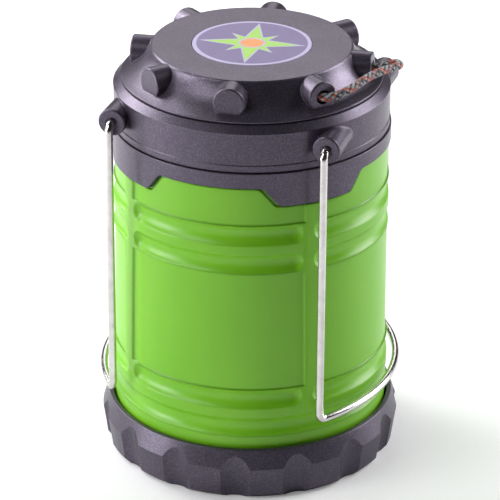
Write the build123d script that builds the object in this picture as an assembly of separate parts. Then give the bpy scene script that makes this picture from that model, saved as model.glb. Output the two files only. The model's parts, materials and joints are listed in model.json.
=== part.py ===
from build123d import *
import os
from math import atan2, cos, degrees, hypot, pi, radians, sin, sqrt, tan

# Pop-up camping lantern, closed. Millimetres, +Z up, -Y is the front.
# The origin is the centre of the underside of the base. The two wire bails stand on the +X and -X sides.
# An azimuth is measured in degrees from the front (-Y) towards +X.

# ---- Driving sizes ----------------------------------------------------------------------------------
BOTTOM_R = 43.5          # base ring at the floor
RING_MAX_R = 44.75       # base ring at its widest
RING_TOP_R = 42.85
RING_CHAMFER_Z = 10.3
RING_TOP_Z = 16.0
RING_FLOOR_Z = 5.0       # the shell stands on this floor inside the ring
RING_BORE_R = 32.0
FLUTES = 15              # upright channels round the base ring, cut parallel to its leaning wall
FLUTE_R = 7.0
FLUTE_DEPTH = 1.7

PLATE_R = 38.2
PLATE_Z = 0.8
PLATE_TOP_Z = 2.3
SCREWS_R = 35.2          # pitch circle of the base screws
SCREW_AZIMUTHS = (0, 90, 180, 270)
FOOT_AZIMUTHS = (45, 135, 225, 315)
FEET_R = 28.0
MAGNET_Y = -14.0         # the magnet and the reed switch above it stand off centre, towards the front
MAGNET_R = 4.0
MAGNET_Z = 27.0
MAGNET_TOP_Z = 30.0

SHELL_TOP_Z = 101.9
SHELL_TOP_R = 40.4       # outer radius at SHELL_REF_Z
SHELL_REF_Z = 92.5
SHELL_DRAFT = 0.0125     # the shell widens downwards by this much per millimetre
SHELL_BORE_R = 37.3
STOP_Z = 96.2            # shelf in the bore that carries the stop ring
STOP_BORE_R = 37.6
PANEL_DEPTH = 0.45       # the panels lie this much below the corner strips
FRONT_HALF = 39.3        # half angle of the front and rear panels
SIDE_HALF = 42.0         # half angle of the side panels
SIDE_GROOVE_HALF = 46.3  # the side grooves run on into the corner strips
GROOVE_TOPS = (86.9, 77.9, 34.9)
LOW_GROOVE_TOP = 25.7    # the lowest groove runs all the way round
GROOVE_HEIGHT = 6.1
GROOVE_DEPTH = 1.4
SKIRT_GAP = 0.55         # shadow gap between the shell and the skirt

SKIRT_R = 40.8
SKIRT_BORE_R = 39.3
SKIRT_LOW_Z = 98.7
SKIRT_TOP_Z = 103.2
TAB_LOW_Z = 93.0
TAB_HALF_LOW = 11.2
TAB_HALF_HIGH = 15.6
TAB_AZIMUTHS = (45, 135, 225, 315)
SKIRT_LIP = 1.1

COLLAR_R = 40.2
COLLAR_Z = 103.55
COLLAR_STEP_Z = 105.5
COLLAR_BEVEL_Z = 115.0
COLLAR_TOP_Z = 116.9
COLLAR_TOP_R = 38.05
COLLAR_BORE_R = 36.4
FLANGE_TOP_Z = 108.0
FLANGE_BORE_R = 27.0

BOSS_X = 31.8
BOSS_Z = 110.2
BOSS_R = 4.05
BOSS_Y = 31.9
WIRE_D = 2.3
PIVOT_BORE_D = 2.46

BAIL_ARM_Y = 34.0
BAIL_LOW_Z = 25.8
BAIL_REACH_X = 43.6
BAIL_BEND_R = 2.2
BAIL_PIN_Y = 25.5

LENS_R = 36.0
LENS_BORE_R = 34.0
LENS_Z = 34.9
LENS_TOP_Z = 105.9
LENS_GAP = 0.12
LENS_RIBS = 48

FOOT_Z = 33.5
FOOT_TOP_Z = 36.5
FOOT_R = 37.0
FOOT_SCREWS_R = 19.9

COLUMN_APOTHEM = 19.2
COLUMN_BORE_R = 17.9
COLUMN_TOP_Z = 103.4
BOARD = (14.0, 60.0, 1.0)    # width, length, thickness
BOARD_Z = 70.0
BOARD_AZIMUTHS = (30, 150, 270)
LED = (2.8, 3.5, 1.2)
LED_COLUMNS = 2
LED_ROWS = 5
LED_SPACING = (6.0, 11.0)

TRAY_R = 17.6
TRAY_BORE_R = 16.2
TRAY_Z = 49.0
TRAY_DECK_R = 33.0
TRAY_DECK_TOP_Z = 110.0
TRAY_SCREWS_R = 29.5
KEY_Y = -24.0            # peg that keeps the contact disc from turning
CELL_D = 14.2
CELL_PITCH_R = 8.4
CELL_Z = 54.0
CELL_LENGTH = 49.5
CELL_AZIMUTHS = (0, 120, 240)
LEAD_AZIMUTHS = (150, 330)
LEADS_R = 9.0
CIRCUIT_R = 17.0
CIRCUIT_Z = 43.6
CIRCUIT_TOP_Z = 45.2
REED_Y = -12.5
REED_Z = 41.9
SPRING_WIRE_D = 0.8

DISC_TOP_R = 28.9        # flat top of the cap
CAP_TOP_Z = 126.5
CAP_RIM_R = 38.0
CAP_RIM_Z = 117.3
CAP_RIM_TOP_Z = 117.8
CAP_COVE_R = 14.0        # concave flank between the flat top and the rim
CAP_WALL = 1.8
SPIGOT_R = 35.2
SPIGOT_BORE_R = 33.6
SPIGOT_Z = 109.1
KNOBS = 8
KNOB_PHASE = 6.9
KNOB_R = 4.6
KNOB_Z = 121.8
KNOB_FACE_R = 35.3
CORD_KNOBS = (1, 2)      # counted from the knob at KNOB_PHASE
CORD_D = 2.7
KNOTS_AT_R = 24.2        # where the knots sit inside the cap
KNOT_R = 2.4
CORD_HOLE_D = 4.2
CORD_MOUTH_GAP = 2.7     # from a knob's face to the loop's pivot
CORD_BEND_ROOM = 2.0     # from the loop's pivot back to the knotted tail
CONTACT_DISC_R = 30.0
CONTACT_DISC_Z = 110.35
CONTACT_DISC_TOP_Z = 112.0
THREAD_LEAD = 16.0
THREAD_STARTS = 3

BADGE_R = 17.3
BADGE_THICK = 0.5
BADGE_POCKET = 0.4


# ---- Helpers ----------------------------------------------------------------------------------------
STANDING = (Align.CENTER, Align.CENTER, Align.MIN)


def polar(radius, azimuth, z=0.0):
    angle = radians(azimuth)
    return Vector(radius * sin(angle), -radius * cos(angle), z)


def turned(shape, azimuth):
    """A shape built towards the front, turned to an azimuth."""
    return Rot(0, 0, azimuth) * shape


def spun(outline, angle=360.0, start=0.0):
    """A closed outline of (radius, z) points or edges, spun about Z from an azimuth."""
    if not isinstance(outline, (Wire, Curve)):
        outline = Polyline(*[(r, 0, z) for r, z in outline], close=True)
    face = make_face(outline)
    solid = revolve(face, Axis.Z, angle)
    return Rot(0, 0, start - 90) * solid


def ring(outer, inner, low, high):
    body = Pos(0, 0, low) * Cylinder(outer, high - low, align=STANDING)
    if inner > 0:
        body -= Pos(0, 0, low - 1) * Cylinder(inner, high - low + 2, align=STANDING)
    return body


def pin(radius, low, high, at=(0, 0)):
    return Pos(at[0], at[1], low) * Cylinder(radius, high - low, align=STANDING)


def pan_screw(head_r, head_h, shank_r, length, point_up=True):
    """Pan-head screw with a cross recess; the head's bearing face lies at z = 0 and the shank points up."""
    head = pin(head_r, -head_h, 0)
    head = fillet(head.edges().group_by(Axis.Z)[0], 0.35 * head_h)
    slot = Box(head_r * 1.2, 0.5, 0.9) + Box(0.5, head_r * 1.2, 0.9)
    screw = head + pin(shank_r, 0, length) - Pos(0, 0, -head_h) * slot
    screw = chamfer(screw.edges().group_by(Axis.Z)[-1], shank_r * 0.5)
    return screw if point_up else Rot(180, 0, 0) * screw


def around(solid, azimuths, radius, z=0.0):
    """Copies of a solid at each azimuth on a circle."""
    copies = []
    for azimuth in azimuths:
        place = polar(radius, azimuth, z)
        copies.append(Pos(place.X, place.Y, place.Z) * Rot(0, 0, azimuth) * solid)
    return copies


def rounded_path(points, bend):
    """Straight runs through the points with a round bend at each corner."""
    points = [Vector(*p) for p in points]
    edges = []
    start = points[0]
    for corner, after in zip(points[1:-1], points[2:]):
        into = (corner - start).normalized()
        out = (after - corner).normalized()
        half = into.get_angle(out) / 2
        reach = bend * tan(radians(half))
        inward = (out - into).normalized()
        centre = corner + inward * (bend / cos(radians(half)))
        first, last = corner - into * reach, corner + out * reach
        edges += [Line(start, first), ThreePointArc(first, centre - inward * bend, last)]
        start = last
    if (points[-1] - start).length > 1e-6:
        edges.append(Line(start, points[-1]))
    return edges


def rod(edges, diameter):
    """Round rod swept along joined edges."""
    path = Wire(edges)
    section = Plane(origin=path @ 0, z_dir=path % 0) * Circle(diameter / 2)
    return sweep(section, path=path)


# ---- Housing ----------------------------------------------------------------------------------------
def base_ring():
    edge = 1.2
    outline = [
        (RING_BORE_R, PLATE_TOP_Z + 0.1),
        (PLATE_R + 0.15, PLATE_TOP_Z + 0.1),
        (PLATE_R + 0.15, 0.3),
        (BOTTOM_R - edge, 0.3),
        (BOTTOM_R, 0.3 + edge),
        (RING_MAX_R, RING_CHAMFER_Z),
        (RING_TOP_R, RING_TOP_Z),
        (shell_radius(RING_TOP_Z) + 0.25, RING_TOP_Z),
        (shell_radius(RING_FLOOR_Z) + 0.1, RING_FLOOR_Z),
        (RING_BORE_R, RING_FLOOR_Z),
    ]
    body = spun(outline)
    lean = degrees(atan2(RING_MAX_R - BOTTOM_R, RING_CHAMFER_Z - 0.3 - edge))
    flute = Rot(lean, 0, 0) * pin(FLUTE_R, -RING_TOP_Z, RING_TOP_Z)
    azimuths = [360 / FLUTES * (k + 0.5) for k in range(FLUTES)]
    for copy in around(flute, azimuths, RING_MAX_R - FLUTE_DEPTH + FLUTE_R, RING_CHAMFER_Z):
        body -= copy
    hole = pin(1.45, 0, RING_FLOOR_Z + 1)
    for copy in around(hole, SCREW_AZIMUTHS, SCREWS_R):
        body -= copy
    return body


def base_plate():
    body = pin(PLATE_R, PLATE_Z, PLATE_TOP_Z)
    for k in range(3):
        body += ring(12.0 + 8 * k, 11.0 + 8 * k, PLATE_TOP_Z, PLATE_TOP_Z + 1.2)
    for copy in around(pin(1.45, 0, 5) + pin(2.7, 0, PLATE_Z + 0.7), SCREW_AZIMUTHS, SCREWS_R):
        body -= copy
    for copy in around(pin(4.6, 0, PLATE_Z + 0.8), FOOT_AZIMUTHS, FEET_R):
        body -= copy
    post = pin(MAGNET_R + 1.5, PLATE_TOP_Z, MAGNET_TOP_Z)
    post -= pin(MAGNET_R + 0.1, MAGNET_Z - 0.1, MAGNET_TOP_Z + 1)
    return body + Pos(0, MAGNET_Y, 0) * post


def rubber_feet():
    foot = pin(4.5, 0, PLATE_Z + 0.75)
    foot = chamfer(foot.edges().group_by(Axis.Z)[0], 0.4)
    return around(foot, FOOT_AZIMUTHS, FEET_R)


def base_screws():
    screw = pan_screw(2.4, 1.1, 1.2, 6.8)
    return around(screw, SCREW_AZIMUTHS, SCREWS_R, PLATE_Z + 0.68)


def shell_radius(z):
    return SHELL_TOP_R + (SHELL_REF_Z - z) * SHELL_DRAFT


def skirt_zone(inner, outer, gap):
    """Band round the shell with four tabs: the skirt ring's outline, let out by a gap."""
    low, high = SKIRT_LOW_Z - gap, SKIRT_TOP_Z
    tab_low = TAB_LOW_Z - gap
    side = hypot(TAB_HALF_HIGH - TAB_HALF_LOW, low - tab_low) / (low - tab_low) * gap
    reach = 60.0
    zone = ring(outer, 0, low, high)
    for azimuth in TAB_AZIMUTHS:
        with BuildSketch(Plane.XZ) as tab:
            with BuildLine():
                Polyline(
                    (-reach / 2, low), (-TAB_HALF_HIGH - side, low), (-TAB_HALF_LOW - side, tab_low),
                    (TAB_HALF_LOW + side, tab_low), (TAB_HALF_HIGH + side, low), (reach / 2, low),
                    (reach / 2, high), (-reach / 2, high), close=True,
                )
            make_face()
            corners = [v for v in tab.vertices() if v.Z < high - 1 and abs(v.X) < reach / 2 - 1]
            fillet(corners, 2.0)
        prism = extrude(tab.sketch, 60)
        wedge = Rot(0, 0, -90) * spun([(10, 80), (outer, 80), (outer, 120), (10, 120)], 90, 45)
        zone += turned(prism & wedge, azimuth)
    return zone - pin(inner, 80, 120)


def groove(top, half, centre_azimuth):
    """Cove groove with round ends, centred on an azimuth; half is where its ends reach."""
    mid = top - GROOVE_HEIGHT / 2
    bow = (GROOVE_HEIGHT ** 2 / 4 + GROOVE_DEPTH ** 2) / (2 * GROOVE_DEPTH)
    centre_r = shell_radius(mid) - GROOVE_DEPTH + bow
    end = half - degrees(GROOVE_HEIGHT / 2 / shell_radius(mid))
    section = Pos(centre_r, 0, mid) * Rot(90, 0, 0) * Circle(bow)
    if half >= 180:
        return revolve(section, Axis.Z, 360)
    arc = Rot(0, 0, centre_azimuth - end - 90) * revolve(section, Axis.Z, 2 * end)
    for side in (-end, end):
        place = polar(centre_r, centre_azimuth + side, mid)
        arc += Pos(place.X, place.Y, place.Z) * Sphere(bow)
    return arc


def panel(low, high, half, centre_azimuth):
    """Shallow recess between two corner strips; its sides slope at 45 degrees."""
    outline = [
        (shell_radius(low) - PANEL_DEPTH, low),
        (shell_radius(low) + 2, low),
        (shell_radius(high) + 2, high),
        (shell_radius(high) - PANEL_DEPTH, high),
    ]
    band = spun(outline)
    if half >= 180:
        return band
    foot = polar(shell_radius(high) - PANEL_DEPTH, half)
    slope = polar(10, half + 45)
    brow = foot + slope
    corners = [(0, 0), (foot.X, foot.Y), (brow.X, brow.Y), (brow.X, -90), (-brow.X, -90),
               (-brow.X, brow.Y), (-foot.X, foot.Y)]
    wedge = extrude(make_face(Polyline(*corners, close=True)), 130)
    return turned(band & wedge, centre_azimuth)


def outer_shell():
    outline = [
        (RING_BORE_R, RING_FLOOR_Z + 0.05),
        (shell_radius(RING_FLOOR_Z), RING_FLOOR_Z + 0.05),
        (shell_radius(SHELL_TOP_Z), SHELL_TOP_Z),
        (STOP_BORE_R, SHELL_TOP_Z),
        (STOP_BORE_R, STOP_Z),
        (SHELL_BORE_R, STOP_Z),
        (SHELL_BORE_R, 10.0),
        (RING_BORE_R, 10.0),
    ]
    body = spun(outline)
    middle = (LOW_GROOVE_TOP + 9.2, GROOVE_TOPS[1] - GROOVE_HEIGHT)
    top = (GROOVE_TOPS[0], SHELL_TOP_Z + 1)
    low = (RING_FLOOR_Z + 1, LOW_GROOVE_TOP - GROOVE_HEIGHT)
    front, side = (FRONT_HALF, FRONT_HALF), (SIDE_HALF, SIDE_GROOVE_HALF)
    for azimuth, (panel_half, groove_half) in ((0, front), (90, side), (180, front), (270, side)):
        for span in (middle, top):
            body -= panel(*span, panel_half, azimuth)
        for groove_top in GROOVE_TOPS:
            body -= groove(groove_top, groove_half, azimuth)
    body -= groove(LOW_GROOVE_TOP, 180, 0)
    body -= panel(*low, 180, 0)
    body -= skirt_zone(SKIRT_BORE_R - 0.15, 50, SKIRT_GAP)
    for copy in around(pin(1.25, 0, 9.0), SCREW_AZIMUTHS, SCREWS_R):
        body -= copy
    return body


def skirt_ring():
    body = skirt_zone(SKIRT_BORE_R, SKIRT_R, 0)
    body += ring(SKIRT_R, LENS_R + 0.4, SKIRT_TOP_Z - SKIRT_LIP, SKIRT_TOP_Z)
    return body


def stop_ring():
    return ring(STOP_BORE_R - 0.05, LENS_R + 0.3, STOP_Z + 0.05, STOP_Z + 2.4)


def friction_ring():
    low, high = STOP_Z + 2.5, SKIRT_TOP_Z - SKIRT_LIP - 0.1
    body = ring(STOP_BORE_R - 0.1, LENS_R + 0.15, low, high)
    return body - ring(STOP_BORE_R, STOP_BORE_R - 0.5, low + 1.2, low + 2.2)


def switch_magnet():
    return Pos(0, MAGNET_Y, 0) * chamfer(pin(MAGNET_R, MAGNET_Z, MAGNET_TOP_Z).edges(), 0.2)


# ---- Head -------------------------------------------------------------------------------------------
def thread_strip(radius, thick, high, z_mid, start, sweep_angle):
    """Short length of a thread start that climbs anticlockwise, seen from above."""
    rise = THREAD_LEAD * sweep_angle / 360
    path = Helix(THREAD_LEAD, rise, radius)
    section = Plane(origin=path @ 0, x_dir=(1, 0, 0), z_dir=path % 0) * Rectangle(thick, high)
    strip = sweep(section, path=path, is_frenet=True)
    return Pos(0, 0, z_mid - rise / 2) * Rot(0, 0, start - sweep_angle / 2 - 90) * strip


def collar():
    outline = [
        (FLANGE_BORE_R, COLLAR_Z),
        (COLLAR_R + 0.15, COLLAR_Z),
        (COLLAR_R + 0.15, COLLAR_STEP_Z),
        (COLLAR_R, COLLAR_STEP_Z),
        (COLLAR_R, COLLAR_BEVEL_Z - 0.35),
        (COLLAR_R + 0.12, COLLAR_BEVEL_Z),
        (COLLAR_TOP_R, COLLAR_TOP_Z),
        (COLLAR_BORE_R, COLLAR_TOP_Z),
        (COLLAR_BORE_R, FLANGE_TOP_Z),
        (FLANGE_BORE_R, FLANGE_TOP_Z),
    ]
    body = spun(outline)
    boss = Rot(90, 0, 0) * Cylinder(BOSS_R, 2 * BOSS_Y)
    boss = fillet(boss.edges().filter_by(GeomType.CIRCLE), 0.5)
    bosses = [Pos(side * BOSS_X, 0, BOSS_Z) * boss for side in (-1, 1)]
    inside = pin(COLLAR_R - 1.0, COLLAR_Z - 20, COLLAR_TOP_Z + 20)
    for solid in bosses:
        body += solid - inside
    for side in (-1, 1):
        for end in (-1, 1):
            bore = Rot(90, 0, 0) * Cylinder(PIVOT_BORE_D / 2, 8.4)
            mouth = Rot(90, 0, 0) * Cylinder(1.7, 1.0)
            body -= Pos(side * BOSS_X, end * (BOSS_Y - 3.7), BOSS_Z) * bore
            body -= Pos(side * BOSS_X, end * BOSS_Y, BOSS_Z) * mouth
    body -= ring(LENS_R + LENS_GAP, LENS_BORE_R - LENS_GAP, COLLAR_Z - 1, LENS_TOP_Z + 0.1)
    for copy in around(pin(1.05, COLLAR_Z + 0.6, FLANGE_TOP_Z + 1), CELL_AZIMUTHS, TRAY_SCREWS_R):
        body -= copy
    for k in range(THREAD_STARTS):
        body += thread_strip(COLLAR_BORE_R - 0.35, 1.3, 1.4, 113.9, 20 + 120 * k, 60)
    return body


def lens_tube():
    body = ring(LENS_R, LENS_BORE_R, LENS_Z, LENS_TOP_Z)
    rib = pin(0.45, FOOT_TOP_Z + 1.5, COLLAR_Z - 1.5)
    for copy in around(rib, [360 / LENS_RIBS * k for k in range(LENS_RIBS)], LENS_BORE_R):
        body += copy
    return body


def foot_ring():
    body = pin(FOOT_R, FOOT_Z, FOOT_TOP_Z)
    body = chamfer(body.edges(), 0.4)
    body -= ring(LENS_R + LENS_GAP, LENS_BORE_R - LENS_GAP, LENS_Z - 0.1, FOOT_TOP_Z + 1)
    body -= pin(14.5, FOOT_Z - 1, FOOT_TOP_Z + 1)
    for copy in around(pin(1.2, FOOT_Z - 1, FOOT_TOP_Z + 1), CELL_AZIMUTHS, FOOT_SCREWS_R):
        body -= copy
    for copy in around(pin(2.3, FOOT_Z - 1, FOOT_Z + 1.3), CELL_AZIMUTHS, FOOT_SCREWS_R):
        body -= copy
    return body


def foot_screws():
    return around(pan_screw(2.0, 1.1, 1.0, 7.0), CELL_AZIMUTHS, FOOT_SCREWS_R, FOOT_Z + 1.28)


def top_reflector():
    flat = ring(LENS_BORE_R - 0.8, 22.6, COLLAR_Z - 0.65, COLLAR_Z - 0.05)
    return flat + ring(22.9, 22.5, COLLAR_Z - 3.0, COLLAR_Z - 0.05)


def bottom_reflector():
    inner, outer, rise, thick = 22.6, LENS_BORE_R - 0.8, 2.05, 0.6
    low = FOOT_TOP_Z + 0.05
    return spun([(inner, low + rise), (outer, low), (outer, low + thick), (inner, low + rise + thick)])


def led_column():
    hexagon = RegularPolygon(COLUMN_APOTHEM / cos(pi / 6), 6, rotation=30)
    body = Pos(0, 0, FOOT_TOP_Z + 0.05) * extrude(hexagon, COLUMN_TOP_Z - FOOT_TOP_Z - 0.05)
    body -= pin(COLUMN_BORE_R, 30, 110)
    for copy in around(pin(1.05, 30, FOOT_TOP_Z + 7), CELL_AZIMUTHS, FOOT_SCREWS_R):
        body -= copy
    return body


def led_boards():
    width, length, thick = BOARD
    board = Pos(0, 0, BOARD_Z) * Box(width, thick, length)
    return around(board, BOARD_AZIMUTHS, COLUMN_APOTHEM + thick / 2 + 0.05)


def led_chips():
    width, height, thick = LED
    chip = Box(width, thick, height) - Pos(0, -thick / 2, 0) * Rot(90, 0, 0) * Cylinder(1.1, 0.5)
    panel_chips = []
    for i in range(LED_COLUMNS):
        for j in range(LED_ROWS):
            across = LED_SPACING[0] * (i - (LED_COLUMNS - 1) / 2)
            up = BOARD_Z + LED_SPACING[1] * (j - (LED_ROWS - 1) / 2)
            panel_chips.append(Pos(across, 0, up) * chip)
    chips = []
    for solid in panel_chips:
        chips += around(solid, BOARD_AZIMUTHS, COLUMN_APOTHEM + BOARD[2] + 0.1 + thick / 2)
    return chips


def battery_tray():
    body = ring(TRAY_R, TRAY_BORE_R, TRAY_Z, TRAY_DECK_TOP_Z) + pin(TRAY_R, TRAY_Z, TRAY_Z + 1.5)
    body += ring(TRAY_DECK_R, TRAY_BORE_R, FLANGE_TOP_Z + 0.05, TRAY_DECK_TOP_Z)
    for copy in around(pin(1.3, 100, 115), CELL_AZIMUTHS, TRAY_SCREWS_R):
        body -= copy
    body -= pin(1.7, 100, 115, (0, KEY_Y))
    for copy in around(pin(0.8, TRAY_Z - 1, TRAY_Z + 2), LEAD_AZIMUTHS, LEADS_R):
        body -= copy
    return body


def tray_screws():
    screw = pan_screw(2.2, 1.2, 1.0, 5.2, point_up=False)
    return around(screw, CELL_AZIMUTHS, TRAY_SCREWS_R, TRAY_DECK_TOP_Z + 0.02)


def battery_cells():
    case = pin(CELL_D / 2, CELL_Z, CELL_Z + CELL_LENGTH)
    case = fillet(case.edges(), 0.6)
    cell = case + pin(2.7, CELL_Z, CELL_Z + CELL_LENGTH + 1.0)
    return around(cell, CELL_AZIMUTHS, CELL_PITCH_R)


def battery_springs():
    height = CELL_Z - TRAY_Z - 1.5 - SPRING_WIRE_D - 0.1
    path = Helix(1.05, height, 3.6)
    section = Plane(origin=path @ 0, z_dir=path % 0) * Circle(SPRING_WIRE_D / 2)
    coil = Pos(0, 0, TRAY_Z + 1.55 + SPRING_WIRE_D / 2) * sweep(section, path=path, is_frenet=True)
    return around(coil, CELL_AZIMUTHS, CELL_PITCH_R)


def driver_board():
    board = pin(CIRCUIT_R, CIRCUIT_Z, CIRCUIT_TOP_Z)
    chip = Pos(4, 3, CIRCUIT_TOP_Z + 0.7) * Box(5, 6, 1.4)
    coil = pin(3.0, CIRCUIT_TOP_Z - 0.1, CIRCUIT_TOP_Z + 2.8, (-6.5, 4.0))
    capacitor = pin(2.2, CIRCUIT_TOP_Z - 0.1, CIRCUIT_TOP_Z + 3.2, (6.0, -6.0))
    return board + chip + coil + capacitor


def reed_switch():
    body = Pos(0, REED_Y, REED_Z) * Rot(0, 90, 0) * Cylinder(1.2, 11.0)
    body = fillet(body.edges(), 1.0)
    for side in (-1, 1):
        inside, corner = (side * 5.0, REED_Y, REED_Z), (side * 7.6, REED_Y, REED_Z)
        board = (side * 7.6, REED_Y, CIRCUIT_Z - 0.1)
        body += rod(rounded_path([inside, corner, board], 0.7), 0.6)
    return body


def battery_leads():
    return around(pin(0.6, CIRCUIT_TOP_Z + 0.05, TRAY_Z + 1.0), LEAD_AZIMUTHS, LEADS_R)


def cap_seal():
    seal = ring(COLLAR_BORE_R - 0.1, SPIGOT_BORE_R + 0.1, FLANGE_TOP_Z + 0.02, SPIGOT_Z - 0.08)
    return fillet(seal.edges(), 0.2)


# ---- Bails ------------------------------------------------------------------------------------------
def bail(side):
    """Wire bail: two pins in the bosses, two straight arms, and an arc that hugs the shell."""
    bend = BAIL_BEND_R
    arc_x = -(BOSS_X ** 2 + BAIL_ARM_Y ** 2 - bend ** 2 - BAIL_REACH_X ** 2) / (2 * (BAIL_REACH_X - BOSS_X))
    arc_r = BAIL_REACH_X - arc_x
    lead = degrees(atan2(BAIL_ARM_Y, BOSS_X - arc_x)) - degrees(atan2(bend, arc_r))
    start = Vector(arc_x + arc_r * cos(radians(lead)), -arc_r * sin(radians(lead)), BAIL_LOW_Z)
    half = rounded_path(
        [
            (BOSS_X, -BAIL_PIN_Y, BOSS_Z),
            (BOSS_X, -BAIL_ARM_Y, BOSS_Z),
            (BOSS_X, -BAIL_ARM_Y, BAIL_LOW_Z),
            tuple(start),
        ],
        bend,
    )
    middle = Vector(BAIL_REACH_X, 0, BAIL_LOW_Z)
    far = Vector(start.X, -start.Y, start.Z)
    mirrored = [edge.mirror(Plane.XZ) for edge in half]
    path = Wire(half + [ThreePointArc(half[-1] @ 1, middle, far)] + mirrored)
    begin = half[0] @ 0
    section = Plane(origin=begin, z_dir=half[0] % 0) * Circle(WIRE_D / 2)
    body = sweep(section, path=path)
    return body if side > 0 else Rot(0, 0, 180) * body


# ---- Cap --------------------------------------------------------------------------------------------
def cove(radius, upper, lower):
    """Concave flank of the cap, concentric with the outer cove: an arc between two heights."""
    start, end = (DISC_TOP_R + 0.4, CAP_TOP_Z - 0.4), (CAP_RIM_R, CAP_RIM_TOP_Z)
    chord = hypot(end[0] - start[0], end[1] - start[1])
    rise = sqrt(CAP_COVE_R ** 2 - chord ** 2 / 4)
    along = ((end[0] - start[0]) / chord, (end[1] - start[1]) / chord)
    centre = ((start[0] + end[0]) / 2 - along[1] * rise, (start[1] + end[1]) / 2 + along[0] * rise)

    def at(z):
        return (centre[0] - sqrt(radius ** 2 - (centre[1] - z) ** 2), 0, z)

    return ThreePointArc(at(upper), at((upper + lower) / 2), at(lower))


def cap():
    flank = cove(CAP_COVE_R, CAP_TOP_Z - 0.4, CAP_RIM_TOP_Z)
    outer = Wire([
        Line((0, 0, CAP_RIM_Z), (0, 0, CAP_TOP_Z)),
        Line((0, 0, CAP_TOP_Z), (DISC_TOP_R, 0, CAP_TOP_Z)),
        Line((DISC_TOP_R, 0, CAP_TOP_Z), flank @ 0),
        flank,
        Line(flank @ 1, (CAP_RIM_R, 0, CAP_RIM_Z)),
        Line((CAP_RIM_R, 0, CAP_RIM_Z), (0, 0, CAP_RIM_Z)),
    ])
    body = spun(outer)
    knob = Rot(90, 0, 0) * pin(KNOB_R, 0, KNOB_FACE_R - 20)
    knob = fillet(knob.edges().filter_by(GeomType.CIRCLE).sort_by(Axis.Y)[0], 0.5)
    knob = Pos(0, -20, KNOB_Z) * knob
    knob &= Pos(0, 0, CAP_RIM_Z + 0.2) * Box(120, 120, 20, align=STANDING)
    for k in range(KNOBS):
        body += turned(knob, KNOB_PHASE + 360 / KNOBS * k)
    body += pin(SPIGOT_R, SPIGOT_Z, CAP_RIM_Z + 0.2)

    roof = CAP_TOP_Z - CAP_WALL - BADGE_POCKET
    inner_flank = cove(CAP_COVE_R + CAP_WALL, roof, CAP_RIM_TOP_Z)
    cavity = Wire([
        Line((0, 0, SPIGOT_Z - 1), (0, 0, roof)),
        Line((0, 0, roof), inner_flank @ 0),
        inner_flank,
        Line(inner_flank @ 1, (SPIGOT_BORE_R, 0, CAP_RIM_Z - 1)),
        Line((SPIGOT_BORE_R, 0, CAP_RIM_Z - 1), (SPIGOT_BORE_R, 0, SPIGOT_Z - 1)),
        Line((SPIGOT_BORE_R, 0, SPIGOT_Z - 1), (0, 0, SPIGOT_Z - 1)),
    ])
    body -= spun(cavity)
    body += ring(4.0, 1.1, 112.4, roof + 0.2)
    for index in CORD_KNOBS:
        hole = Pos(0, -30, KNOB_Z) * Rot(90, 0, 0) * Cylinder(CORD_HOLE_D / 2, 24)
        body -= turned(hole, KNOB_PHASE + 360 / KNOBS * index)
    body -= ring(BADGE_R + 0.1, 0, CAP_TOP_Z - BADGE_POCKET, CAP_TOP_Z + 1)
    for k in range(THREAD_STARTS):
        body += thread_strip(SPIGOT_R + 0.2, 0.9, 1.5, 112.25, 20 + 120 * k, 24)
    return body


def badge_disc():
    low = CAP_TOP_Z - BADGE_POCKET + 0.02
    disc = pin(BADGE_R, low, low + BADGE_THICK)
    return fillet(disc.edges().group_by(Axis.Z)[-1], 0.25)


def pivot_screw():
    return Pos(0, 0, 110.2) * pan_screw(3.0, 1.4, 1.0, 8.0)


def contact_disc():
    body = pin(CONTACT_DISC_R, CONTACT_DISC_Z, CONTACT_DISC_TOP_Z) - pin(1.08, 105, 115)
    for copy in around(pin(3.0, 100, 120), CELL_AZIMUTHS, TRAY_SCREWS_R):
        body -= copy
    return body + pin(1.5, 106.2, CONTACT_DISC_Z + 0.15, (0, KEY_Y))


def top_contacts():
    stud = pin(2.2, CELL_Z + CELL_LENGTH + 1.15, CONTACT_DISC_Z - 0.05)
    return around(stud, CELL_AZIMUTHS, CELL_PITCH_R)


def cord_mouth(index):
    """Where the loop starts, just outside a knob's face. It swings about the line through both mouths."""
    return polar(KNOB_FACE_R + CORD_MOUTH_GAP, KNOB_PHASE + 360 / KNOBS * index, KNOB_Z)


def cord_knots():
    tail_end = KNOB_FACE_R + CORD_MOUTH_GAP - CORD_BEND_ROOM
    parts = []
    for index in CORD_KNOBS:
        azimuth = KNOB_PHASE + 360 / KNOBS * index
        tail = Pos(0, 0, KNOB_Z) * Rot(90, 0, 0) * pin(CORD_D / 2, KNOTS_AT_R, tail_end)
        knot = Pos(0, -KNOTS_AT_R, KNOB_Z) * Sphere(KNOT_R)
        parts.append(turned(tail + knot, azimuth))
    return parts


def cord_loop():
    start, end = cord_mouth(CORD_KNOBS[0]), cord_mouth(CORD_KNOBS[1])
    path = Spline(
        start, (32.9, -18.4, KNOB_Z + 1.0), (36.0, -9.5, KNOB_Z + 2.6), (39.2, -2.6, KNOB_Z + 2.7),
        (42.0, 2.6, KNOB_Z + 1.7), (42.3, 6.6, KNOB_Z + 0.7), (40.3, 7.3, KNOB_Z + 0.1), end,
    )
    body = sweep(Plane(origin=path @ 0, z_dir=path % 0) * Circle(CORD_D / 2), path=path)
    for tip in (start, end):
        body += Pos(tip.X, tip.Y, tip.Z) * Sphere(CORD_D / 2)
    return body


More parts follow.
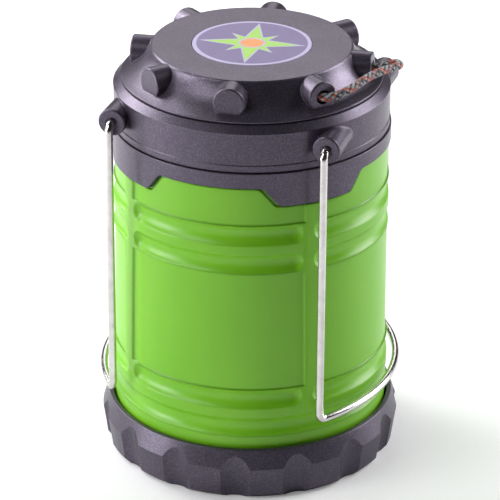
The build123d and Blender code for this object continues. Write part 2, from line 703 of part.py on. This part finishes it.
# ---- Write one STEP for each piece ------------------------------------------------------------------
PIECES = {
    "base_ring": base_ring,
    "base_plate": base_plate,
    "rubber_feet": rubber_feet,
    "base_screws": base_screws,
    "outer_shell": outer_shell,
    "skirt_ring": skirt_ring,
    "stop_ring": stop_ring,
    "friction_ring": friction_ring,
    "switch_magnet": switch_magnet,
    "collar": collar,
    "lens_tube": lens_tube,
    "foot_ring": foot_ring,
    "foot_screws": foot_screws,
    "top_reflector": top_reflector,
    "bottom_reflector": bottom_reflector,
    "led_column": led_column,
    "led_boards": led_boards,
    "led_chips": led_chips,
    "battery_tray": battery_tray,
    "tray_screws": tray_screws,
    "battery_cells": battery_cells,
    "battery_springs": battery_springs,
    "driver_board": driver_board,
    "reed_switch": reed_switch,
    "battery_leads": battery_leads,
    "cap_seal": cap_seal,
    "bail_right": lambda: bail(1),
    "bail_left": lambda: bail(-1),
    "cap": cap,
    "badge_disc": badge_disc,
    "pivot_screw": pivot_screw,
    "contact_disc": contact_disc,
    "top_contacts": top_contacts,
    "cord_knots": cord_knots,
    "cord_loop": cord_loop,
}

os.makedirs("parts", exist_ok=True)
for name, build in PIECES.items():
    made = build()
    if isinstance(made, (list, ShapeList)):
        made = Compound(children=list(made))
    made.label = name
    export_step(made, f"parts/{name}.step")
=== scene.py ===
"""Looks for the camping lantern: materials for the CAD pieces, a braided cord, the stage and the camera."""

import json
import math

import bmesh
import bpy
from mathutils import Matrix, Vector


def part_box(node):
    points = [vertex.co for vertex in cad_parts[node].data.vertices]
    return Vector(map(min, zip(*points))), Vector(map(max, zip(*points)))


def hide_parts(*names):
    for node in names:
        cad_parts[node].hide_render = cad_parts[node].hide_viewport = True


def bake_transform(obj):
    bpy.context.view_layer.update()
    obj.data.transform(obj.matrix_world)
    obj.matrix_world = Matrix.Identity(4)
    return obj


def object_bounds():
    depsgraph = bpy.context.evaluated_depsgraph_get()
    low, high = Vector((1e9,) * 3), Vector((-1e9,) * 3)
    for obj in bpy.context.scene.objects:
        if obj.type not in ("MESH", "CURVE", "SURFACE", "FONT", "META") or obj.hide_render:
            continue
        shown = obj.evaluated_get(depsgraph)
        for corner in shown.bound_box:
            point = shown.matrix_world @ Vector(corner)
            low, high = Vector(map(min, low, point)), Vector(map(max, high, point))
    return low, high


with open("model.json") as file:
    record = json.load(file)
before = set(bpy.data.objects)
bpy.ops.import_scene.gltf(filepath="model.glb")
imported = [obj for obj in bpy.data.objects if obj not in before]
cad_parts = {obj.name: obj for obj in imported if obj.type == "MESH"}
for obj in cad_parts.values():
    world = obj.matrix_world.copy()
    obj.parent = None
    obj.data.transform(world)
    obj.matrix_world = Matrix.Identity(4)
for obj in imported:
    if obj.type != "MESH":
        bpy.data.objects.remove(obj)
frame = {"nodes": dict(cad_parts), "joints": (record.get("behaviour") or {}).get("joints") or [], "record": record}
CAD_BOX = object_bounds()
MM = 0.001

# ---- Camera: stands before the -Y front, a little to its right, and looks down ------------------------
CAMERA_AZIMUTH = 17.5     # degrees from -Y towards +X
CAMERA_OUT = 0.781        # metres from the lantern's axis
CAMERA_SIDE = -0.00026
CAMERA_HEIGHT = 0.43447
CAMERA_DOWN = 25.596      # degrees below the horizon
CAMERA_ROLL = 0.327
CAMERA_LENS = 209.04
CAMERA_SENSOR = 36.0
CAMERA_CLIP = (0.05, 20.0)


def add_object(name, data):
    """A new object in the scene that shows the given data."""
    thing = bpy.data.objects.new(name, data)
    bpy.context.scene.collection.objects.link(thing)
    return thing


def shaded(colour, factor):
    return tuple(channel * factor for channel in colour)


# ---- Node helpers -------------------------------------------------------------------------------------
class Look:
    """A node-based material. Positions are in millimetres of the row frame."""

    def __init__(self, name):
        self.material = bpy.data.materials.new(name)
        self.material.use_nodes = True
        self.tree = self.material.node_tree
        self.shader = self.tree.nodes["Principled BSDF"]
        self.place = self.scaled(self.add("ShaderNodeTexCoord").outputs["Object"], (1 / MM,) * 3)

    def add(self, kind, **settings):
        node = self.tree.nodes.new(kind)
        for key, value in settings.items():
            setattr(node, key, value)
        return node

    def feed(self, socket, value):
        if isinstance(value, bpy.types.NodeSocket):
            self.tree.links.new(value, socket)
        elif isinstance(value, tuple) and socket.type == "RGBA":
            socket.default_value = (*value, 1.0)
        else:
            socket.default_value = value

    def set(self, **inputs):
        for key, value in inputs.items():
            self.feed(self.shader.inputs[key.replace("_", " ")], value)

    def scaled(self, vector, factors):
        node = self.add("ShaderNodeVectorMath", operation="MULTIPLY")
        self.feed(node.inputs[0], vector)
        node.inputs[1].default_value = factors
        return node.outputs[0]

    def split(self, vector):
        node = self.add("ShaderNodeSeparateXYZ")
        self.feed(node.inputs[0], vector)
        return node.outputs

    def math(self, operation, a, b=0.0):
        node = self.add("ShaderNodeMath", operation=operation)
        self.feed(node.inputs[0], a)
        self.feed(node.inputs[1], b)
        return node.outputs[0]

    def noise(self, size, detail=2.0, roughness=0.5, stretch=(1, 1, 1)):
        """Noise whose features are about `size` millimetres across."""
        node = self.add("ShaderNodeTexNoise")
        self.feed(node.inputs["Vector"], self.scaled(self.place, tuple(s / size for s in stretch)))
        node.inputs["Scale"].default_value = 1.0
        node.inputs["Detail"].default_value = detail
        node.inputs["Roughness"].default_value = roughness
        return node.outputs["Fac"]

    def cells(self, size):
        """Cells about `size` millimetres across, each with its own random red, green and blue."""
        node = self.add("ShaderNodeTexVoronoi")
        self.feed(node.inputs["Vector"], self.scaled(self.place, (1 / size,) * 3))
        node.inputs["Scale"].default_value = 1.0
        return self.split(node.outputs["Color"])

    def spread(self, value, low, high, to_low=0.0, to_high=1.0):
        """Carries low..high over to to_low..to_high, and holds it there beyond both ends."""
        node = self.add("ShaderNodeMapRange")
        self.feed(node.inputs["Value"], value)
        for key, number in zip(("From Min", "From Max", "To Min", "To Max"), (low, high, to_low, to_high)):
            node.inputs[key].default_value = number
        return node.outputs["Result"]

    def vary(self, noise, to_low=0.0, to_high=1.0):
        """Noise seldom leaves 0.3 to 0.7, so that span covers to_low..to_high."""
        return self.spread(noise, 0.3, 0.7, to_low, to_high)

    def inside(self, value, edge, soft):
        """1 where the value is below the edge, and 0 where it is more than `soft` above it."""
        return self.spread(value, edge, edge + soft, 1.0, 0.0)

    def mix(self, amount, a, b):
        node = self.add("ShaderNodeMix", data_type="RGBA")
        colour_a, colour_b = (socket for socket in node.inputs if socket.type == "RGBA")
        self.feed(node.inputs["Factor"], amount)
        self.feed(colour_a, a)
        self.feed(colour_b, b)
        return next(socket for socket in node.outputs if socket.type == "RGBA")

    def rounding(self, radius):
        """Normals that round every edge off by `radius` millimetres."""
        node = self.add("ShaderNodeBevel", samples=6)
        node.inputs["Radius"].default_value = radius * MM
        return node.outputs[0]

    def bump(self, height, depth, normal=None):
        """Bump whose full height is `depth` millimetres."""
        node = self.add("ShaderNodeBump")
        self.feed(node.inputs["Height"], height)
        node.inputs["Distance"].default_value = depth * MM
        if normal:
            self.feed(node.inputs["Normal"], normal)
        return node.outputs[0]


# ---- Materials of the outside -------------------------------------------------------------------------
TRIM_CHARCOAL = (0.094, 0.078, 0.112)
BASE_CHARCOAL = (0.088, 0.074, 0.106)
FLAKE_COLOUR = (0.42, 0.39, 0.46)
DEEP_GREEN = (0.175, 0.500, 0.012)
LIGHT_GREEN = (0.205, 0.545, 0.018)


def charcoal(name, base, grain_depth, roughness, rounding):
    """Satin charcoal plastic with a violet cast: metal flake too fine to see singly, a slight grain, and painted
    shade in tiny pits.
    """
    look = Look(name)
    tinted = look.mix(look.vary(look.noise(9.0, 3)), base, shaded(base, 1.12))
    flake = look.spread(look.cells(0.22)["X"], 0.70, 1.0, 0.0, 0.22)
    speckled = look.mix(flake, tinted, FLAKE_COLOUR)
    # Painted shade: tiny random cells darkened in the colour, where shade would fall into pits of the grain.
    pit_shade = look.spread(look.cells(0.30)["Y"], 0.80, 1.0, 0.0, 0.4)
    grain = look.noise(0.32, 3, 0.65)
    handled = look.vary(look.noise(16.0, 4, 0.6), roughness - 0.03, roughness + 0.04)
    look.set(
        Base_Color=look.mix(pit_shade, speckled, shaded(base, 0.55)),
        Metallic=0.65,
        Roughness=look.math("ADD", handled, look.vary(grain, -0.03, 0.03)),
        Normal=look.bump(grain, grain_depth, look.rounding(rounding)),
    )
    return look.material


def green_plastic():
    """Glossy green moulding: faint flow marks, soft gloss changes, a little light carried inside."""
    look = Look("green_plastic")
    flow = look.noise(22.0, 3, stretch=(1, 1, 0.35))
    look.set(
        Base_Color=look.mix(look.vary(flow), DEEP_GREEN, LIGHT_GREEN),
        Roughness=look.vary(look.noise(18.0, 2, 0.4), 0.29, 0.33),
        Normal=look.bump(look.noise(0.5), 0.002, look.rounding(0.8)),
        Subsurface_Weight=0.12,
        Subsurface_Radius=(0.4, 1.0, 0.2),
        Subsurface_Scale=1.2 * MM,
    )
    return look.material


def wire_steel():
    """Polished nickel-plated wire with fine drawing lines along its length and light handling marks."""
    look = Look("wire_steel")
    bright, worn = (0.80, 0.77, 0.76), (0.66, 0.63, 0.62)
    lines = look.noise(0.3, stretch=(1, 1, 0.03))
    marks = look.noise(3.0, 4, 0.7)
    look.set(
        Base_Color=look.mix(look.spread(marks, 0.35, 0.7), bright, worn),
        Metallic=1.0,
        Roughness=look.math("ADD", look.vary(marks, 0.12, 0.24), look.vary(lines, 0, 0.06)),
        Normal=look.bump(lines, 0.004),
    )
    return look.material


BADGE_PALE = (0.54, 0.50, 0.70)
BADGE_FIELD = (0.245, 0.205, 0.345)
BADGE_LEAF = (0.42, 0.70, 0.17)
BADGE_SUN = (0.90, 0.38, 0.17)
BADGE_TURN = CAMERA_AZIMUTH - 8
MAIN_ARM = (3.3, 0.80)    # half width in mm, and length as a share of the badge's radius
MINOR_ARM = (2.4, 0.50)
HUB_R = 3.3
HUB_RING_R = 3.9
RIM_WIDTH = 1.25
PRINT_EDGE = 0.1          # mm over which one printed colour gives way to the next


def badge():
    """Round printed badge: pale rim, purple field, and a plain eight-armed star with an orange hub."""
    look = Look("badge")
    low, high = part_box("badge_disc")
    radius = (high.x - low.x) / 2 / MM
    turn = look.add("ShaderNodeVectorRotate", rotation_type="Z_AXIS")
    look.feed(turn.inputs["Vector"], look.place)
    turn.inputs["Angle"].default_value = -math.radians(BADGE_TURN)
    x, y, _ = look.split(turn.outputs[0])

    def from_line(signed):
        return look.math("ABSOLUTE", signed)

    def diagonal(operation):
        return from_line(look.math("MULTIPLY", look.math(operation, x, y), math.sqrt(0.5)))

    def cross(a, b, arm):
        """Four pointed arms along two lines: below 1 inside them, and above 1 outside."""
        half_width, reach = arm
        arms = []
        for wide, long in ((a, b), (b, a)):
            share = look.math("DIVIDE", wide, half_width)
            arms.append(look.math("ADD", share, look.math("DIVIDE", long, reach * radius)))
        return look.math("MINIMUM", *arms)

    main = cross(from_line(x), from_line(y), MAIN_ARM)
    star = look.math("MINIMUM", main, cross(diagonal("ADD"), diagonal("SUBTRACT"), MINOR_ARM))
    flat = look.add("ShaderNodeCombineXYZ")
    look.feed(flat.inputs["X"], x)
    look.feed(flat.inputs["Y"], y)
    length = look.add("ShaderNodeVectorMath", operation="LENGTH")
    look.feed(length.inputs[0], flat.outputs[0])
    distance = length.outputs["Value"]

    ink = look.noise(0.35)
    colour = look.mix(look.vary(ink), BADGE_FIELD, shaded(BADGE_FIELD, 1.10))
    colour = look.mix(look.inside(star, 1.12, 0.04), colour, BADGE_PALE)
    colour = look.mix(look.inside(star, 0.98, 0.04), colour, BADGE_LEAF)
    colour = look.mix(look.inside(distance, HUB_RING_R, PRINT_EDGE), colour, BADGE_PALE)
    colour = look.mix(look.inside(distance, HUB_R, PRINT_EDGE), colour, BADGE_SUN)
    rim = radius - RIM_WIDTH
    colour = look.mix(look.spread(distance, rim, rim + PRINT_EDGE), colour, BADGE_PALE)
    look.set(
        Base_Color=colour,
        Roughness=look.vary(look.noise(5.0, 3), 0.50, 0.60),
        Specular_IOR_Level=0.25,
        Normal=look.bump(ink, 0.002, look.rounding(0.15)),
    )
    return look.material


# ---- Materials of the inside --------------------------------------------------------------------------
def moulded(name, colour, roughness, grain_size=0.3, grain_depth=0.01):
    """Plain moulded plastic or rubber: mottled tone, uneven gloss and a fine grain."""
    look = Look(name)
    grain = look.noise(grain_size, 3, 0.6)
    look.set(
        Base_Color=look.mix(look.vary(look.noise(6.0, 3)), shaded(colour, 0.88), colour),
        Roughness=look.vary(look.noise(4.0, 3), roughness - 0.06, roughness + 0.06),
        Normal=look.bump(grain, grain_depth, look.rounding(0.15)),
    )
    return look.material


def clear_plastic():
    """Clear moulded lens with a faint haze and a smooth, slightly wavy surface."""
    look = Look("clear_plastic")
    look.set(
        Base_Color=(0.97, 0.985, 0.99),
        Roughness=look.vary(look.noise(3.0, 3), 0.03, 0.10),
        IOR=1.49,
        Transmission_Weight=1.0,
        Normal=look.bump(look.noise(5.0), 0.01),
    )
    return look.material


def thin_glass():
    """Greenish glass tube of a small switch."""
    look = Look("glass")
    look.set(
        Base_Color=(0.80, 0.92, 0.84),
        Roughness=look.vary(look.noise(2.0), 0.02, 0.06),
        IOR=1.5,
        Transmission_Weight=1.0,
        Normal=look.bump(look.noise(1.5), 0.005),
    )
    return look.material


def metal(name, colour, roughness, grain, depth=0.004):
    """Bare or plated metal with slight stains and a fine grain."""
    look = Look(name)
    fine = look.noise(grain, 3, 0.6)
    stain = look.noise(3.0, 4, 0.6)
    gloss = look.vary(stain, roughness, roughness + 0.1)
    look.set(
        Base_Color=look.mix(look.spread(stain, 0.35, 0.7), colour, shaded(colour, 0.8)),
        Metallic=1.0,
        Roughness=look.math("ADD", gloss, look.vary(fine, -0.03, 0.05)),
        Normal=look.bump(fine, depth, look.rounding(0.1)),
    )
    return look.material


def felt():
    """Matted dark fibres."""
    look = Look("felt")
    dark, pale = (0.03, 0.03, 0.033), (0.075, 0.075, 0.08)
    fibre = look.noise(0.25, 4, 0.7, stretch=(1, 1, 2))
    look.set(
        Base_Color=look.mix(look.vary(fibre), dark, pale),
        Roughness=0.95,
        Sheen_Weight=0.4,
        Normal=look.bump(fibre, 0.08),
    )
    return look.material


def circuit_board(name, mask, trace):
    """Solder mask over copper, with slanting traces that show through in patches."""
    look = Look(name)
    x, y, z = look.split(look.place)
    wave = look.math("PINGPONG", look.math("ADD", look.math("ADD", x, y), z), 1.4)
    patch = look.spread(look.noise(5.0, 1), 0.45, 0.5)
    traces = look.math("MULTIPLY", look.inside(wave, 0.22, 0.08), patch)
    look.set(
        Base_Color=look.mix(traces, mask, trace),
        Roughness=look.vary(look.noise(2.0, 3), 0.28, 0.42),
        Normal=look.bump(traces, 0.02, look.rounding(0.05)),
    )
    return look.material


def led_phosphor():
    """Yellow phosphor gel under a clear coat."""
    look = Look("led_phosphor")
    amber, lemon = (0.86, 0.66, 0.12), (0.93, 0.76, 0.22)
    grain = look.noise(0.2, 3)
    look.set(
        Base_Color=look.mix(look.vary(grain), amber, lemon),
        Roughness=0.35,
        Coat_Weight=0.6,
        Coat_Roughness=0.08,
        Normal=look.bump(grain, 0.01),
    )
    return look.material


def cell_jacket():
    """Plain battery jacket: bare metal ends, a gold band near the top, a dark sleeve below it."""
    look = Look("cell_jacket")
    sleeve, sleeve_light, gold, bare_metal = (
        (0.05, 0.06, 0.07), (0.075, 0.085, 0.095), (0.55, 0.42, 0.10), (0.62, 0.61, 0.59)
    )
    low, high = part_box("battery_cells")
    foot, top = low.z / MM, high.z / MM
    z = look.split(look.place)["Z"]
    body = look.mix(look.vary(look.noise(4.0, 3)), sleeve, sleeve_light)
    printed = look.mix(look.spread(z, top - 14.0, top - 13.9), body, gold)
    bare_top = look.spread(z, top - 1.5, top - 1.4)
    bare = look.math("MAXIMUM", bare_top, look.inside(z, foot + 0.5, 0.1))
    look.set(
        Base_Color=look.mix(bare, printed, bare_metal),
        Metallic=look.spread(bare, 0, 1, 0.35, 1.0),
        Roughness=look.vary(look.noise(2.0, 3), 0.25, 0.38),
        Normal=look.bump(look.noise(0.4), 0.005),
    )
    return look.material


def paint_nodes():
    """Gives every CAD node the material of its slot, apart from the cord, which a braid replaces."""
    made = {
        "trim_plastic": charcoal("trim_plastic", TRIM_CHARCOAL, 0.010, 0.33, 0.4),
        "base_plastic": charcoal("base_plastic", BASE_CHARCOAL, 0.014, 0.36, 0.5),
        "green_plastic": green_plastic(),
        "clear_plastic": clear_plastic(),
        "chrome_plastic": metal("chrome_plastic", (0.86, 0.87, 0.88), 0.06, 1.5, 0.002),
        "white_plastic": moulded("white_plastic", (0.78, 0.78, 0.75), 0.42),
        "black_plastic": moulded("black_plastic", (0.022, 0.022, 0.024), 0.5),
        "wire_steel": wire_steel(),
        "screw_steel": metal("screw_steel", (0.52, 0.52, 0.53), 0.28, 0.4),
        "rubber": moulded("rubber", (0.018, 0.018, 0.019), 0.75, 0.4, 0.03),
        "felt": felt(),
        "board_white": circuit_board("board_white", (0.78, 0.78, 0.75), (0.60, 0.60, 0.56)),
        "board_green": circuit_board("board_green", (0.012, 0.085, 0.035), (0.03, 0.17, 0.06)),
        "led_phosphor": led_phosphor(),
        "cell_jacket": cell_jacket(),
        "spring_steel": metal("spring_steel", (0.66, 0.65, 0.62), 0.2, 0.2),
        "brass": metal("brass", (0.72, 0.50, 0.19), 0.2, 0.3),
        "glass": thin_glass(),
        "magnet": metal("magnet", (0.60, 0.60, 0.61), 0.22, 0.5),
        "lead_wire": moulded("lead_wire", (0.42, 0.022, 0.018), 0.4, 0.2, 0.005),
        "badge": badge(),
    }
    for entry in frame["record"]["subparts"]:
        slot = entry["material_slot"]
        if slot in made:
            materials = frame["nodes"][entry["node"]].data.materials
            materials.clear()
            materials.append(made[slot])


# ---- The braided cord ---------------------------------------------------------------------------------
CORD_R = 1.22 * MM
STRANDS = 8               # in each direction
BRAID_PITCH = 8.0 * MM    # length of cord in one turn of a strand
BRAID_STEP = 0.16 * MM    # along the cord, from one ring of points to the next
WEAVE_LIFT = 0.09 * MM    # how far a strand rises where it passes over another
STRAND_HALF_WIDTH = 0.40 * MM
STRAND_HALF_THICK = 0.16 * MM
STRAND_SIDES = 6
CORE_R = CORD_R * 0.62
CORE_SIDES = 10
CORE_STRIDE = 4           # steps of the braid in one of the core's
CURVE_SAMPLES = 60        # between two points that the cord passes through
SILVER = (0.50, 0.51, 0.53)
SLATE = (0.15, 0.16, 0.18)
INK = (0.022, 0.024, 0.030)
FLAME = (0.78, 0.095, 0.025)
TRACERS = ((1, 0), (-1, 0), (1, 1))    # direction and number of the orange strands


def strand_colour(direction, k):
    """Three strands are orange and four black, and the rest are silver or slate."""
    if (direction, k) in TRACERS:
        return FLAME
    if k % 3 == 2:
        return INK
    return SILVER if (k + direction) % 2 else SLATE


def smooth_path(points):
    """Evenly spaced points on a smooth curve through the given points."""
    padded = [points[0] * 2 - points[1], *points, points[-1] * 2 - points[-2]]
    dense = []
    for p0, p1, p2, p3 in zip(padded, padded[1:], padded[2:], padded[3:]):
        for i in range(CURVE_SAMPLES):
            t = i / CURVE_SAMPLES
            dense.append(0.5 * (
                2 * p1 + (p2 - p0) * t + (2 * p0 - 5 * p1 + 4 * p2 - p3) * t ** 2
                + (3 * p1 - p0 - 3 * p2 + p3) * t ** 3
            ))
    dense.append(points[-1].copy())
    even, carried = [dense[0]], 0.0
    for a, b in zip(dense, dense[1:]):
        length = (b - a).length
        while carried + length >= BRAID_STEP:
            a = a.lerp(b, (BRAID_STEP - carried) / length)
            length = (b - a).length
            carried = 0.0
            even.append(a.copy())
        carried += length
    return even


def transported_frames(path):
    """At each point of a path: the point, the way ahead, and a steady pair of side vectors."""
    frames, side = [], None
    for k, point in enumerate(path):
        ahead = path[min(k + 1, len(path) - 1)] - path[max(k - 1, 0)]
        ahead.normalize()
        if side is None:
            side = ahead.orthogonal().normalized()
        side = (side - ahead * side.dot(ahead)).normalized()
        frames.append((point, ahead, side, ahead.cross(side)))
    return frames


def ellipse(centre, wide, thick, sides):
    """Points around an ellipse whose half axes are the two given vectors."""
    turns = [2 * math.pi * s / sides for s in range(sides)]
    return [centre + wide * math.cos(t) + thick * math.sin(t) for t in turns]


def strand_rings(rails, direction, k):
    """Outlines along one flat strand, which winds round the cord and weaves over and under the others."""
    rings = []
    for n, (point, ahead, a, b) in enumerate(rails):
        travel = n * BRAID_STEP / BRAID_PITCH
        angle = 2 * math.pi * (direction * travel + k / STRANDS)
        lift = direction * WEAVE_LIFT * math.cos(2 * math.pi * STRANDS * travel)
        centre_r = CORD_R - STRAND_HALF_THICK - WEAVE_LIFT + lift
        out = a * math.cos(angle) + b * math.sin(angle)
        around = b * math.cos(angle) - a * math.sin(angle)
        slope = 2 * math.pi * centre_r / BRAID_PITCH * direction
        along = (ahead + around * slope).normalized()
        wide = along.cross(out).normalized() * STRAND_HALF_WIDTH
        rings.append(ellipse(point + out * centre_r, wide, out * STRAND_HALF_THICK, STRAND_SIDES))
    return rings


def add_tube(mesh, rings, tint, colour):
    """Closed tube through rings of points, with its colour kept on every point."""
    loops = []
    for ring in rings:
        loops.append([mesh.verts.new(place) for place in ring])
        for vert in loops[-1]:
            vert[tint] = (*colour, 1)
    count = len(rings[0])
    for first, second in zip(loops, loops[1:]):
        for s in range(count):
            after = (s + 1) % count
            mesh.faces.new((first[s], first[after], second[after], second[s]))
    mesh.faces.new(loops[0][::-1])
    mesh.faces.new(loops[-1])


def braid(name, points):
    """Tubular braid along a path: two sets of flat strands round a plain core."""
    rails = transported_frames(smooth_path(points))
    mesh = bmesh.new()
    tint = mesh.verts.layers.float_color.new("cord_tint")
    for direction in (1, -1):
        for k in range(STRANDS):
            add_tube(mesh, strand_rings(rails, direction, k), tint, strand_colour(direction, k))
    core = [ellipse(point, a * CORE_R, b * CORE_R, CORE_SIDES) for point, _, a, b in rails[::CORE_STRIDE]]
    add_tube(mesh, core, tint, (0, 0, 0))
    for face in mesh.faces:
        face.smooth = True
    bmesh.ops.recalc_face_normals(mesh, faces=mesh.faces)
    data = bpy.data.meshes.new(name)
    mesh.to_mesh(data)
    mesh.free()
    return add_object(name, data)


def cord_material():
    """Braided polyester: each strand keeps its own tint, with fine filaments and a soft sheen."""
    look = Look("cord_braid")
    tint = look.add("ShaderNodeVertexColor", layer_name="cord_tint").outputs["Color"]
    filament = look.noise(0.16, 3, 0.6)
    threads = look.mix(look.vary(filament), look.mix(0.35, tint, (0, 0, 0)), tint)
    look.set(
        Base_Color=look.mix(look.spread(look.noise(1.2), 0.45, 0.75, 0.0, 0.2), threads, SLATE),
        Roughness=look.vary(filament, 0.55, 0.75),
        Sheen_Weight=0.3,
        Sheen_Roughness=0.5,
        Normal=look.bump(filament, 0.03),
    )
    return look.material


CORD_END_R = 25.0 * MM    # where the ends stop inside the cap
INSIDE_KNOB_R = 31.0 * MM
KNOB_FACE_R = 35.3 * MM
KNOB_SPACING = 45         # degrees
CORD_LOOP = (
    # radius in mm, degrees past the first knob, rise in mm above the knobs' middle
    (37.3, 5.5, 0.5),
    (37.9, 14, 1.4),
    (38.0, 24, 2.0),
    (39.3, 34, 1.9),
    (41.4, 41.5, 1.3),
    (42.8, 46.5, 0.8),
    (42.0, 50, 0.4),
    (39.8, 49.5, 0.2),
    (37.6, KNOB_SPACING + 2, 0.0),
)


def build_cord():
    """The loop between two knobs, with its ends run through their holes. They stop inside, without knots."""
    swing = next(joint for joint in frame["joints"] if joint["name"] == "cord_swing")
    pivot, axis = Vector(swing["pos_m"]), Vector(swing["axis"]).normalized()
    first_knob = math.degrees(math.atan2(pivot.y, pivot.x))

    def at(radius, past_first, rise=0.0):
        a = math.radians(first_knob + past_first)
        return Vector((radius * math.cos(a), radius * math.sin(a), pivot.z + rise))

    through = (CORD_END_R, INSIDE_KNOB_R, KNOB_FACE_R)
    way_out = [at(radius, 0) for radius in through]
    loop = [at(radius * MM, past_first, rise * MM) for radius, past_first, rise in CORD_LOOP]
    way_in = [at(radius, KNOB_SPACING) for radius in reversed(through)]
    cord = braid("cord_braid", way_out + loop + way_in)
    cord.data.materials.append(cord_material())
    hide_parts("cord_loop", "cord_knots")
    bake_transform(cord)


# ---- Stage --------------------------------------------------------------------------------------------
SOFTBOX_AWAY = 0.9
SOFTBOX_SIDE = 0.45
SOFTBOXES = {
    # azimuth from the camera towards the right, elevation, watts
    "key_low": (-76, 9, 4.6),
    "key_high": (-58, 42, 2.2),
    "rim_left": (-120, 27, 5.2),
    "rear_left": (-136, 44, 3.0),
    "rim_right": (106, 8, 3.2),
    "rim_right_high": (112, 31, 5.0),
    "back": (180, 36, 1.2),
}
ROOM_FILL = 0.015         # how strongly the room lights the lantern
BACKDROP = 0.80           # how bright the room looks to the camera
FLOOR_GLOW = 0.18         # light that the floor sends to the camera only
FLOOR_COLOUR = (0.88, 0.88, 0.89)
FLOOR_REACH = 6.0


def build_softbox(name, azimuth, elevation, power):
    """Square softbox that faces the lantern's middle."""
    middle = (CAD_BOX[0] + CAD_BOX[1]) / 2
    a, e = math.radians(CAMERA_AZIMUTH + azimuth), math.radians(elevation)
    away = Vector((math.sin(a) * math.cos(e), -math.cos(a) * math.cos(e), math.sin(e)))
    data = bpy.data.lights.new(name, "AREA")
    data.size = SOFTBOX_SIDE
    data.energy = power
    lamp = add_object(name, data)
    lamp.location = middle + away * SOFTBOX_AWAY
    lamp.rotation_euler = (-away).to_track_quat("-Z", "Y").to_euler()


def build_floor():
    """Plain pale floor under the lantern."""
    mesh = bmesh.new()
    bmesh.ops.create_grid(mesh, x_segments=2, y_segments=2, size=FLOOR_REACH)
    data = bpy.data.meshes.new("floor")
    mesh.to_mesh(data)
    mesh.free()
    look = Look("floor")
    seen = look.add("ShaderNodeLightPath").outputs["Is Camera Ray"]
    look.set(
        Base_Color=FLOOR_COLOUR,
        Roughness=look.vary(look.noise(400.0), 0.8, 0.9),
        Emission_Color=(1, 1, 1),
        Emission_Strength=look.math("MULTIPLY", seen, FLOOR_GLOW),
    )
    data.materials.append(look.material)
    floor = add_object("floor", data)
    floor.location.z = CAD_BOX[0].z


def build_room():
    """White surroundings: bright to the camera, and only a faint fill on the lantern."""
    world = bpy.data.worlds.new("studio")
    bpy.context.scene.world = world
    world.use_nodes = True
    nodes, links = world.node_tree.nodes, world.node_tree.links
    sky = nodes["Background"]
    sky.inputs["Color"].default_value = (1.0, 1.0, 1.0, 1.0)
    ray = nodes.new("ShaderNodeLightPath")
    strength = nodes.new("ShaderNodeMapRange")
    strength.inputs["To Min"].default_value = ROOM_FILL
    strength.inputs["To Max"].default_value = BACKDROP
    links.new(ray.outputs["Is Camera Ray"], strength.inputs["Value"])
    links.new(strength.outputs["Result"], sky.inputs["Strength"])


def build_camera():
    data = bpy.data.cameras.new("camera")
    data.lens = CAMERA_LENS
    data.sensor_width = CAMERA_SENSOR
    data.clip_start, data.clip_end = CAMERA_CLIP
    camera = add_object("camera", data)
    spin = Matrix.Rotation(math.radians(CAMERA_AZIMUTH), 4, "Z")
    tilt = Matrix.Rotation(math.radians(90 - CAMERA_DOWN), 4, "X")
    roll = Matrix.Rotation(math.radians(CAMERA_ROLL), 4, "Z")
    camera.location = spin @ Vector((CAMERA_SIDE, -CAMERA_OUT, CAMERA_HEIGHT))
    camera.rotation_euler = (spin @ tilt @ roll).to_euler()
    bpy.context.scene.camera = camera


paint_nodes()
build_cord()
build_floor()
build_room()
for softbox, (azimuth, elevation, power) in SOFTBOXES.items():
    build_softbox(softbox, azimuth, elevation, power)
build_camera()
bpy.context.scene.view_settings.view_transform = "Standard"
